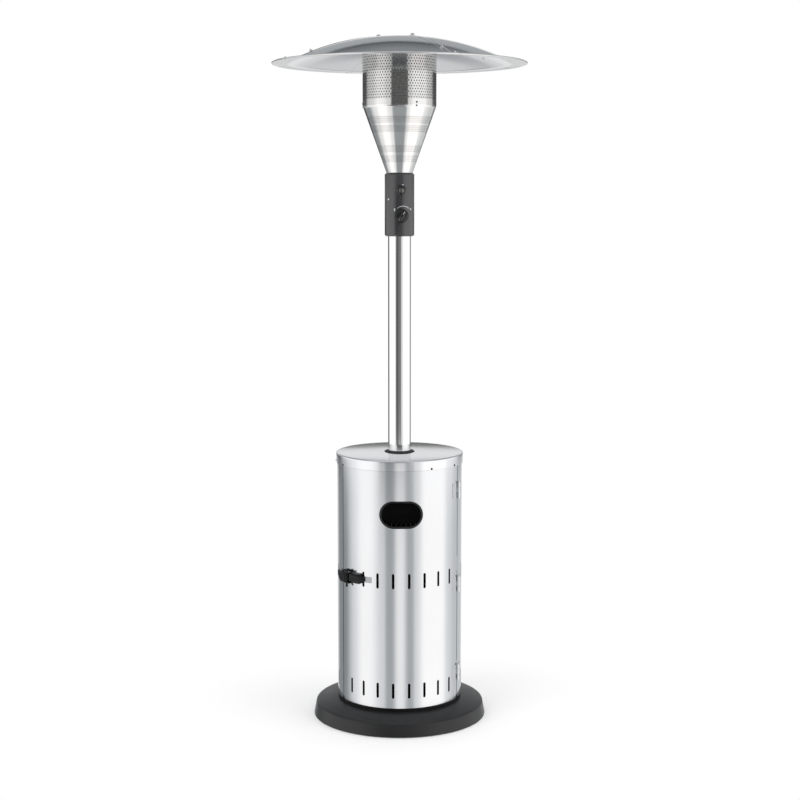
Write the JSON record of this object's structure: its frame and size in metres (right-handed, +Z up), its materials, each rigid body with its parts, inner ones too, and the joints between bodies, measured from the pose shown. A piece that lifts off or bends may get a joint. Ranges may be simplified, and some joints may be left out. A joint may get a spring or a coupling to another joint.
{
  "type": "gas patio heater",
  "caption": "Free-standing gas patio heater: round steel bottle housing with a hinged door, post, control housing with knob and button, perforated burner and domed reflector.",
  "frame": {"origin": "centre of the footprint on the floor", "axes": "+Z up along the post, front with the door and the knob towards -Y, door hinges on the +X side"},
  "size_m": [0.81, 0.81, 2.204],
  "materials": {
    "housing_steel": "satin stainless sheet, brushed upright",
    "lid_steel": "polished stainless sheet",
    "post_steel": "polished stainless tube",
    "burner_steel": "bright stainless sheet",
    "reflector_aluminium": "polished aluminium sheet",
    "screw_steel": "bright zinc plate",
    "base_black": "satin black powder coat",
    "inner_steel": "grey zinc plated steel",
    "control_black": "charcoal, fine grain",
    "button_grey": "dark grey, satin",
    "latch_black": "glossy black",
    "grip_black": "satin black",
    "rubber_black": "matte",
    "brass": "plain machined",
    "ceramic_white": "glazed"
  },
  "bodies": {
    "stand": {"base_cover": "base_black", "bottom_plate": "inner_steel", "ballast_disc": "inner_steel", "rubber_feet": "rubber_black", "bottle_platform": "base_black", "support_leg_left": "inner_steel", "support_leg_right": "inner_steel", "support_leg_rear": "inner_steel", "top_plate": "inner_steel", "top_band": "inner_steel", "post_socket": "inner_steel", "socket_bolts": "screw_steel", "post": "post_steel", "gas_pipe": "brass", "hose_nipple": "brass", "rear_shell": "housing_steel", "shell_screws": "screw_steel", "lid": "lid_steel", "lid_screws": "screw_steel", "post_grommet": "rubber_black", "shell_hinge_leaves": "housing_steel", "hinge_pins": "screw_steel", "hinge_rivets_shell": "screw_steel", "latch_keeper": "housing_steel", "control_housing": "control_black", "control_screw": "screw_steel", "dial_plate": "control_black", "valve_body": "brass", "valve_bracket": "inner_steel", "tilt_switch": "inner_steel", "ignition_bezel": "control_black", "igniter_body": "control_black", "gas_jet": "brass", "mixing_tube": "inner_steel", "burner_cone": "burner_steel", "burner_plate": "inner_steel", "pilot_electrode": "ceramic_white", "burner_screen": "burner_steel", "screen_screws": "screw_steel", "screen_cap": "burner_steel", "reflector_studs": "screw_steel", "crown_plate": "inner_steel", "reflector_panel_1": "reflector_aluminium", "reflector_panel_2": "reflector_aluminium", "reflector_panel_3": "reflector_aluminium", "reflector_panel_4": "reflector_aluminium", "reflector_screws": "screw_steel", "crown_nuts": "screw_steel"},
    "door": {"door": "housing_steel", "grip_insert": "grip_black", "door_hinge_leaves": "housing_steel", "hinge_rivets_door": "screw_steel", "latch_plate": "housing_steel", "latch_base": "latch_black", "latch_pin": "screw_steel"},
    "latch": {"latch_lever": "latch_black"},
    "knob_push": {"push_collar": "brass"},
    "knob": {"gas_knob": "control_black", "valve_stem": "brass"},
    "ignition": {"ignition_button": "button_grey"}
  },
  "joints": [
    {"name": "door_swing", "type": "hinge", "parent": "stand", "child": "door", "pos_m": [0.18838, -0.08865, 0.4865], "axis": [0, 0, 1], "range_deg": [0, 110]},
    {"name": "latch_turn", "type": "hinge", "parent": "door", "child": "latch", "pos_m": [-0.1727, -0.13007, 0.4865], "axis": [0, 0, 1], "range_deg": [0, 60]},
    {"name": "knob_press", "type": "slide", "parent": "stand", "child": "knob_push", "axis": [-0.1045, 0.9945, 0], "range_m": [0, 0.004], "stiffness_N_per_m": 1500},
    {"name": "knob_turn", "type": "hinge", "parent": "knob_push", "child": "knob", "pos_m": [0, 0, 1.6355], "axis": [0.1045, -0.9945, 0], "range_deg": [-26, 82]},
    {"name": "ignition_press", "type": "slide", "parent": "stand", "child": "ignition", "axis": [-0.1045, 0.9945, 0], "range_m": [0, 0.005], "stiffness_N_per_m": 1200}
  ]
}
